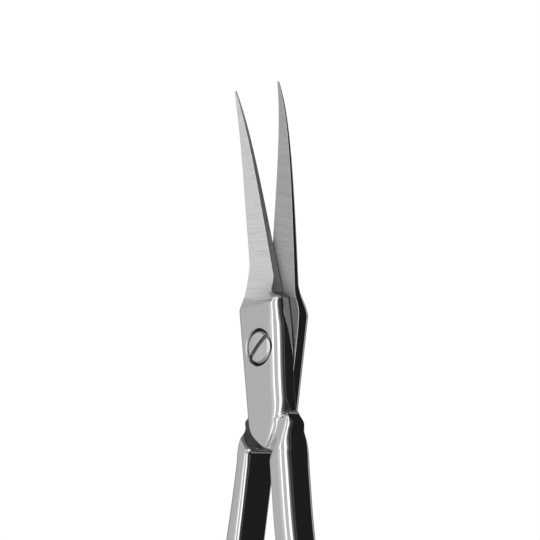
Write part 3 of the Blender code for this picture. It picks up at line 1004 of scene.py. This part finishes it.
@dataclass
class Screw:
    """Slotted pivot screw: domed head, shoulder and threaded shaft."""

    joint: Joint = field(default_factory=Joint)
    seat_radius: float = 1.72
    mouth_radius: float = 1.81
    mouth_depth: float = 0.16
    seat_depth: float = 1.0
    head_radius: float = 1.56
    head_lift: float = 0.18
    rim_drop: float = 0.12
    dome: float = 0.16
    shoulder_radius: float = 1.1
    thread_radius: float = 0.95
    clearance: float = 0.05
    end_chamfer: float = 0.15
    slot_width: float = 0.45
    slot_depth: float = 0.5
    slot_angle: float = math.radians(43)
    overrun: float = 1.0
    steps: int = 160
    dome_steps: int = 40
    edge_round: float = 0.09
    edge_segments: int = 4
    rim_round: float = 0.3
    sharp_angle: float = math.radians(40)

    def cutters(self, upper: bool, steels: Steels) -> list[bpy.types.Object]:
        """Cutters for a half's bore, and for the head's seat in the upper half.

        Args:
            upper: Whether the half is the upper one.
            steels: Materials of the half, in the order of Finish.

        Returns:
            The cutters, in the order in which they cut.
        """
        height, top = self.joint.height, self.joint.height + self.overrun
        bore = (self.shoulder_radius if upper else self.thread_radius) + self.clearance
        tools = [self.cutter("bore", (bore, bore), (-self.overrun, top), Finish.MACHINED, steels)]
        if upper:
            seat, mouth = self.seat_radius, self.mouth_radius
            wide = mouth + (mouth - seat) / self.mouth_depth * self.overrun
            seat_span, mouth_span = (height - self.seat_depth, top), (height - self.mouth_depth, top)
            tools.append(self.cutter("seat", (seat, seat), seat_span, Finish.MACHINED, steels))
            tools.append(self.cutter("mouth", (seat, wide), mouth_span, Finish.POLISHED, steels))
        return tools

    def cutter(self, name: str, radii: Point, span: Point, finish: Finish, steels: Steels) -> bpy.types.Object:
        """A round or tapered cutter on the pivot axis.

        Args:
            name: Name of the cutter.
            radii: Its radius at the bottom and at the top.
            span: Its lowest and highest place.
            finish: Finish that it leaves.
            steels: Materials in the order of Finish.

        Returns:
            The cutter.
        """
        model = bmesh.new()
        bmesh.ops.create_cone(
            model,
            cap_ends=True,
            segments=self.steps,
            radius1=radii[0] * MM,
            radius2=radii[1] * MM,
            depth=(span[1] - span[0]) * MM,
            matrix=Matrix.Translation((0, 0, sum(span) / 2 * MM)),
        )
        for face in model.faces:
            face.material_index = finish.value
        return add_object(name, written(model, bpy.data.meshes.new(name)), steels)

    def outline(self) -> list[Point]:
        """Half section of the screw.

        Returns:
            Points as (radius, height), from the top of the dome down to the end.
        """
        joint = self.joint
        seat = joint.height - self.seat_depth + self.clearance
        rim = joint.height + self.head_lift - self.dome
        shoulder = joint.lap - joint.clearance / 2 + self.clearance
        points = []
        for step in range(self.dome_steps + 1):
            share = step / self.dome_steps
            over = max(self.head_radius * (share - 1) + self.rim_round, 0.0)
            fall = self.rim_round - math.sqrt(self.rim_round**2 - over**2)
            points.append((self.head_radius * share, rim + self.dome * (1 - share * share) - fall))
        return points + [
            (self.head_radius, rim - self.rim_round - self.rim_drop),
            (self.head_radius, seat),
            (self.shoulder_radius, seat),
            (self.shoulder_radius, shoulder),
            (self.thread_radius, shoulder),
            (self.thread_radius, self.end_chamfer),
            (self.thread_radius - self.end_chamfer, 0.0),
            (0.0, 0.0),
        ]

    def turned(self) -> bpy.types.Mesh:
        """The screw turned from its outline, without its slot.

        Returns:
            A closed mesh in metres.
        """
        model = bmesh.new()
        rings = []
        for radius, height in self.outline():
            turns = [2 * math.pi * step / self.steps for step in range(self.steps if radius else 1)]
            places = [(radius * math.cos(turn) * MM, radius * math.sin(turn) * MM, height * MM) for turn in turns]
            rings.append([model.verts.new(place) for place in places])
        for first, second in zip(rings, rings[1:]):
            for i in range(self.steps):
                above, below = ([ring[k % len(ring)] for k in (i, (i + 1) % self.steps)] for ring in (first, second))
                # A ring of one point, on the axis, gives the same corner twice, which then counts once.
                model.faces.new(tuple(dict.fromkeys((above[0], *below, above[1]))))
        bmesh.ops.recalc_face_normals(model, faces=model.faces)
        return written(model, bpy.data.meshes.new("pivot_screw"))

    def driver_slot(self, steels: Steels) -> bpy.types.Object:
        """Cutter for the driver slot across the head.

        Args:
            steels: The screw's finish, and that of the slot.

        Returns:
            The cutter.
        """
        model = bmesh.new()
        bmesh.ops.create_cube(model, size=1.0)
        floor = self.joint.height + self.head_lift - self.slot_depth
        tall = self.slot_depth + self.overrun
        size = (2 * (self.head_radius + self.overrun) * MM, self.slot_width * MM, tall * MM)
        model.transform(
            Matrix.Rotation(self.slot_angle, 4, "Z")
            @ Matrix.Translation((0, 0, (floor + tall / 2) * MM))
            @ Matrix.Diagonal((*size, 1.0))
        )
        for face in model.faces:
            face.material_index = 1
        return add_object("driver_slot", written(model, bpy.data.meshes.new("driver_slot")), steels)

    def build(self, steels: Steels) -> bpy.types.Object:
        """Builds the dressed screw with its driver slot.

        Args:
            steels: The screw's finish, and that of its slot, which is cut and not polished.

        Returns:
            The finished piece.
        """
        screw = add_object("pivot_screw_steel", self.turned(), steels)
        apply_booleans(screw, [(self.driver_slot(steels), "DIFFERENCE")])
        rounded = screw.modifiers.new("edges", "BEVEL")
        rounded.width = self.edge_round * MM
        rounded.segments = self.edge_segments
        rounded.limit_method = "ANGLE"
        rounded.angle_limit = self.sharp_angle
        bake(screw)
        shade(screw.data, self.sharp_angle)
        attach(screw, "pivot_screw")
        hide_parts("pivot_screw")
        return screw


class Groups:
    """Shader node groups that several finishes share, each built once."""

    STREAK_STRETCH = 0.17
    STREAK_SHARPNESS = (0.34, 0.66)
    STREAK_SHARE = 0.35
    MASK_EDGE = 0.04 * MM

    @staticmethod
    def new(name: str, numbers: dict[str, float], results: tuple[str, ...]) -> bpy.types.NodeTree:
        """A shader group with named sockets.

        Args:
            name: Name of the group.
            numbers: Inputs beside its Vector, with their default values.
            results: Names of its outputs.

        Returns:
            The new group, still without nodes.
        """
        group = bpy.data.node_groups.new(name, "ShaderNodeTree")
        group.interface.new_socket("Vector", in_out="INPUT", socket_type="NodeSocketVector")
        for socket, value in numbers.items():
            made = group.interface.new_socket(socket, in_out="INPUT", socket_type="NodeSocketFloat")
            made.default_value = value
        for socket in results:
            group.interface.new_socket(socket, in_out="OUTPUT", socket_type="NodeSocketFloat")
        return group

    @classmethod
    def grain(cls) -> bpy.types.NodeTree:
        """Ground lines as stretched noise.

        Returns:
            The group: a height, a mask of where the grinding starts, and streaks for the tone.
        """
        name = "ground_grain"
        if name in bpy.data.node_groups:
            return bpy.data.node_groups[name]
        numbers = {"Angle": 0.0, "Lines": 4000.0, "Length": 300.0, "Start": -1.0, "Bow": 0.0, "Tilt": 0.0}
        group = cls.new(name, numbers, ("Height", "Mask", "Streak"))
        wiring = Wiring(group)
        given = wiring.add("NodeGroupInput").outputs
        lengths = {0: given["Length"], 1: given["Lines"], 2: given["Length"]}
        scale = wiring.add("ShaderNodeCombineXYZ", lengths).outputs[0]
        turning = {"Vector": given["Vector"], "Angle": given["Angle"]}
        turned = wiring.add("ShaderNodeVectorRotate", turning, rotation_type="Z_AXIS").outputs[0]
        spread = wiring.add("ShaderNodeVectorMath", {0: turned, 1: scale}, operation="MULTIPLY").outputs[0]
        fine = {"Vector": spread, "Scale": 1.0, "Detail": 3.0, "Roughness": 0.6}
        height = wiring.add("ShaderNodeTexNoise", fine).outputs[0]

        longer = {0: spread, "Scale": cls.STREAK_STRETCH}
        slow = wiring.add("ShaderNodeVectorMath", longer, operation="SCALE").outputs[0]
        broad = wiring.add("ShaderNodeTexNoise", {"Vector": slow, "Scale": 1.0, "Detail": 1.0}).outputs[0]
        low, high = cls.STREAK_SHARPNESS
        sharp = wiring.add("ShaderNodeMapRange", {"Value": height, "From Min": low, "From Max": high})
        streak = wiring.add("ShaderNodeMix", {0: cls.STREAK_SHARE, 2: sharp.outputs["Result"], 3: broad})

        parts = wiring.add("ShaderNodeSeparateXYZ", {0: given["Vector"]}).outputs
        squared = wiring.math("MULTIPLY", parts[0], parts[0])
        bowed = wiring.math("MULTIPLY_ADD", squared, given["Bow"], given["Start"])
        tilted = wiring.math("MULTIPLY_ADD", parts[0], given["Tilt"], bowed)
        past = wiring.math("SUBTRACT", parts[1], tilted)
        edge = {"Value": past, "From Min": -cls.MASK_EDGE, "From Max": cls.MASK_EDGE}
        mask = wiring.add("ShaderNodeMapRange", edge).outputs["Result"]
        wiring.add("NodeGroupOutput", {"Height": height, "Mask": mask, "Streak": streak.outputs[0]})
        return group

    @classmethod
    def handling(cls) -> bpy.types.NodeTree:
        """Faint wipe marks and fine waves in the polish.

        Returns:
            The group: a change of roughness, and a height.
        """
        name = "handling_marks"
        if name in bpy.data.node_groups:
            return bpy.data.node_groups[name]
        group = cls.new(name, {"Amount": 0.02}, ("Roughness", "Height"))
        wiring = Wiring(group)
        given = wiring.add("NodeGroupInput").outputs
        cloud = wiring.add("ShaderNodeTexNoise", {"Vector": given["Vector"], "Scale": 320.0, "Detail": 4.0})
        waves = wiring.add("ShaderNodeTexNoise", {"Vector": given["Vector"], "Scale": 900.0, "Detail": 2.0})
        wiped = wiring.math("MULTIPLY", cloud.outputs[0], given["Amount"])
        wiring.add("NodeGroupOutput", {"Roughness": wiped, "Height": waves.outputs[0]})
        return group


@dataclass(frozen=True)
class SteelFinish:
    """A stainless steel surface: its sheen, grain and marks.

    Depths and ripple are in millimetres. Lines and their length are noise scales across and along the grinding.
    The ground part lies past start + bow * x**2 + tilt * x along the tool, in metres.
    """

    name: str
    colour: float = 0.7
    roughness: float = 0.08
    marks: float = 0.05
    ripple: float = 0.02
    grain_roughness: float = 0.0
    grain_tone: float = 0.0
    grain_depth: float = 0.0
    grain_angle: float = 0.0
    lines: float = 5000.0
    line_length: float = 300.0
    start: float = -1.0
    bow: float = 0.0
    tilt: float = 0.0
    # Lift of the ground part's colour; on the satin face it is painted sheen.
    gain: float = 0.0

    def material(self, turn: float, mirror: bool) -> bpy.types.Material:
        """Builds the material.

        Args:
            turn: Angle about Z, in radians, that brings a half back to its own closed frame.
            mirror: Whether that frame is mirrored in X.

        Returns:
            A Principled material.
        """
        steel = bpy.data.materials.new(self.name)
        steel.use_nodes = True
        wiring = Wiring(steel.node_tree)
        closed = {
            "Vector": wiring.add("ShaderNodeTexCoord").outputs["Object"],
            "Rotation": (0.0, 0.0, turn),
            "Scale": (-1.0 if mirror else 1.0, 1.0, 1.0),
        }
        vector = wiring.add("ShaderNodeMapping", closed, vector_type="POINT").outputs[0]
        ground = {
            "Vector": vector,
            "Angle": self.grain_angle,
            "Lines": self.lines,
            "Length": self.line_length,
            "Start": self.start,
            "Bow": self.bow,
            "Tilt": self.tilt,
        }
        grain = wiring.add("ShaderNodeGroup", ground, node_tree=Groups.grain()).outputs
        handled = {"Vector": vector, "Amount": self.marks}
        marks = wiring.add("ShaderNodeGroup", handled, node_tree=Groups.handling()).outputs

        rough = wiring.math("MULTIPLY_ADD", grain["Mask"], self.grain_roughness, self.roughness)
        # The gain lifts the ground part's colour: on the satin face this is painted sheen, while the streaks are grain.
        gained = wiring.math("MULTIPLY_ADD", grain["Streak"], -self.grain_tone, self.gain)
        tone = wiring.math("MULTIPLY_ADD", grain["Mask"], gained, self.colour, clamp=True)
        cut = wiring.math("MULTIPLY", grain["Height"], grain["Mask"])
        normal = {}
        for height, depth in ((cut, self.grain_depth), (marks["Height"], self.ripple)):
            bump = {"Strength": 1.0, "Distance": depth * MM, "Height": height, **normal}
            normal = {"Normal": wiring.add("ShaderNodeBump", bump).outputs[0]}
        surface = {
            "Metallic": 1.0,
            "Roughness": wiring.math("ADD", rough, marks["Roughness"]),
            "Base Color": wiring.add("ShaderNodeCombineColor", dict.fromkeys(range(3), tone)).outputs[0],
            **normal,
        }
        wiring.feed(wiring.nodes["Principled BSDF"], surface)
        return steel


def half_finishes(side: Side) -> list[SteelFinish]:
    """Finishes of one half.

    Args:
        side: Which half.

    Returns:
        Its finishes, in the order of Finish.
    """
    tag = side.name.lower()
    return [
        SteelFinish(f"polished_{tag}", colour=0.66, roughness=0.07, ripple=0.0012),
        SteelFinish(
            f"satin_face_{tag}",
            colour=0.66,
            # Painted sheen: the gain makes the satin face lighter than the polished steel.
            gain=0.38,
            roughness=0.09,
            grain_roughness=0.25,
            grain_tone=0.24,
            grain_depth=0.004,
            grain_angle=math.radians(9),
            lines=8200.0,
            start=4.57 * MM,
            tilt=-0.2,
            bow=0.0375 / MM,
        ),
        SteelFinish(
            f"shearing_face_{tag}",
            colour=0.6,
            gain=0.09,
            roughness=0.36,
            grain_roughness=0.16,
            grain_tone=0.16,
            grain_depth=0.003,
            grain_angle=math.radians(-8),
            lines=8200.0,
        ),
        # Bevel: the low colour is painted shade; the roughness and grain are the ground finish.
        SteelFinish(f"bevel_{tag}", colour=0.19, roughness=0.4, grain_depth=0.001, lines=6000.0),
        SteelFinish(f"machined_{tag}", colour=0.42, roughness=0.36, ripple=0.0),
        SteelFinish(f"facet_{tag}", colour=0.5, roughness=0.55, ripple=0.0),
        # Lap: the low colour is painted shade where the other half covers and shades it.
        SteelFinish(f"lap_{tag}", colour=0.42, roughness=0.26, ripple=0.0),
    ]


def screw_finishes() -> list[SteelFinish]:
    """Finishes of the screw and of its slot."""
    return [
        SteelFinish("screw_steel", colour=0.72, roughness=0.09, ripple=0.003),
        SteelFinish("slot_steel", colour=0.52, roughness=0.24, ripple=0.0),
    ]


@dataclass(frozen=True)
class Studio:
    """Camera, floor and the ring of soft strips that the polished steel shows."""

    camera_place: tuple[float, float, float] = (109.84671353, -8.06656236, 96.57471741)
    right: tuple[float, float, float] = (0.65138828, 0.01292179, -0.75863452)
    up: tuple[float, float, float] = (0.0723746, 0.99423769, 0.07907799)
    back: tuple[float, float, float] = (0.75528486, -0.10641635, 0.64669957)
    lens: float = 101.85
    sensor: float = 36.0
    clip: Point = (0.005, 10.0)
    floor_size: float = 1.6
    floor_tone: float = 0.02
    floor_roughness: float = 0.9
    floor_drop: float = 0.02
    handle_end: Point = (-0.6, -0.4)
    handle_light: float = 0.5
    tip_end: Point = (0.55, 0.8)
    tip_light: float = 0.3
    strips: tuple[Point, ...] = (
        (-180.0, 0.1), (-150.0, 0.25), (-110.0, 0.2), (-96.0, 0.08), (-88.0, 0.45), (-49.0, 0.64), (-10.0, 0.64),
        (12.0, 0.85), (19.8, 0.95), (21.5, 1.8), (30.5, 1.8), (32.5, 0.72), (50.0, 0.7), (60.0, 0.8),
        (62.5, 1.9), (76.0, 1.9), (80.0, 0.5), (90.0, 0.2), (104.0, 0.05), (112.0, 0.02), (114.0, 0.13),
        (117.0, 0.13), (119.0, 0.02), (152.0, 0.015), (160.0, 0.6), (168.0, 0.8), (174.0, 0.5), (180.0, 0.05),
    )

    def camera(self) -> None:
        """Makes the scene's camera."""
        data = bpy.data.cameras.new("camera")
        data.sensor_width = self.sensor
        data.lens = self.lens
        camera = bpy.data.objects.new("camera", data)
        axes = Matrix((self.right, self.up, self.back)).transposed().to_4x4()
        camera.matrix_world = Matrix.Translation(Vector(self.camera_place) * MM) @ axes
        data.clip_start, data.clip_end = self.clip
        bpy.context.scene.collection.objects.link(camera)
        bpy.context.scene.camera = camera

    def floor(self) -> None:
        """Makes the plain pale floor, which only the camera sees, because in the photograph the steel is dark below."""
        size, low = self.floor_size / 2, -self.floor_drop * MM
        mesh = bpy.data.meshes.new("floor")
        corners = [(-size, -size, low), (size, -size, low), (size, size, low), (-size, size, low)]
        mesh.from_pydata(corners, [], [(0, 1, 2, 3)])
        material = bpy.data.materials.new("pale_floor")
        material.use_nodes = True
        wiring = Wiring(material.node_tree)
        shader, out = wiring.nodes["Principled BSDF"], wiring.nodes["Material Output"]
        tone = (self.floor_tone,) * 3 + (1.0,)
        wiring.feed(shader, {"Base Color": tone, "Roughness": self.floor_roughness, "Specular IOR Level": 0.0})
        white = wiring.add("ShaderNodeEmission").outputs[0]
        wiring.feed(out, {"Surface": wiring.camera_sees(white, shader.outputs[0])})
        floor = add_object("floor", mesh, [material])
        floor.visible_glossy = False
        floor.visible_diffuse = False

    def world(self) -> None:
        """Makes the surroundings: strips along the tool, by the angle from straight up, dimmer towards both ends."""
        world = bpy.data.worlds.new("studio")
        bpy.context.scene.world = world
        world.use_nodes = True
        wiring = Wiring(world.node_tree)
        light, out = wiring.nodes["Background"], wiring.nodes["World Output"]
        where = wiring.add("ShaderNodeTexCoord").outputs["Generated"]
        parts = wiring.add("ShaderNodeSeparateXYZ", {0: where}).outputs
        angle = wiring.math("ARCTAN2", parts[0], parts[2])
        share = wiring.add("ShaderNodeMapRange", {"Value": angle, "From Min": -math.pi, "From Max": math.pi})
        ramp = wiring.add("ShaderNodeValToRGB", {0: share.outputs["Result"]})
        stops, top = ramp.color_ramp.elements, max(value for _, value in self.strips)
        for index, (degrees, value) in enumerate(self.strips):
            place = (degrees + 180) / 360
            stop = stops[index] if index < 2 else stops.new(place)
            stop.position = place
            stop.color = (value / top,) * 3 + (1.0,)
        fades = []
        for (near, far), first, last in (
            (self.tip_end, top, top * self.tip_light),
            (self.handle_end, self.handle_light, 1.0),
        ):
            fade = {"Value": parts[1], "From Min": near, "From Max": far, "To Min": first, "To Max": last}
            fades.append(wiring.add("ShaderNodeMapRange", fade).outputs["Result"])
        wiring.feed(light, {"Color": ramp.outputs[0], "Strength": wiring.math("MULTIPLY", *fades)})
        white = wiring.add("ShaderNodeBackground").outputs[0]
        wiring.feed(out, {"Surface": wiring.camera_sees(white, light.outputs[0])})

    def build(self) -> None:
        """Makes the whole studio."""
        bpy.context.scene.view_settings.view_transform = "Standard"
        self.camera()
        self.floor()
        self.world()


def main() -> None:
    """Builds the studio and each piece in order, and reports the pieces."""
    logging.basicConfig(level=logging.INFO, format="%(name)s: %(message)s")
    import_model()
    Studio().build()
    screw, pieces = Screw(), []
    for half in map(Half, Side):
        steels = [finish.material(-half.open_angle, not half.upper) for finish in half_finishes(half.side)]
        pieces.append(half.build(screw, steels))
    pieces.append(screw.build([finish.material(0.0, False) for finish in screw_finishes()]))
    for piece in pieces:
        LOG.info("%s: %d faces", piece.name, len(piece.data.polygons))


if __name__ == "__main__":
    main()
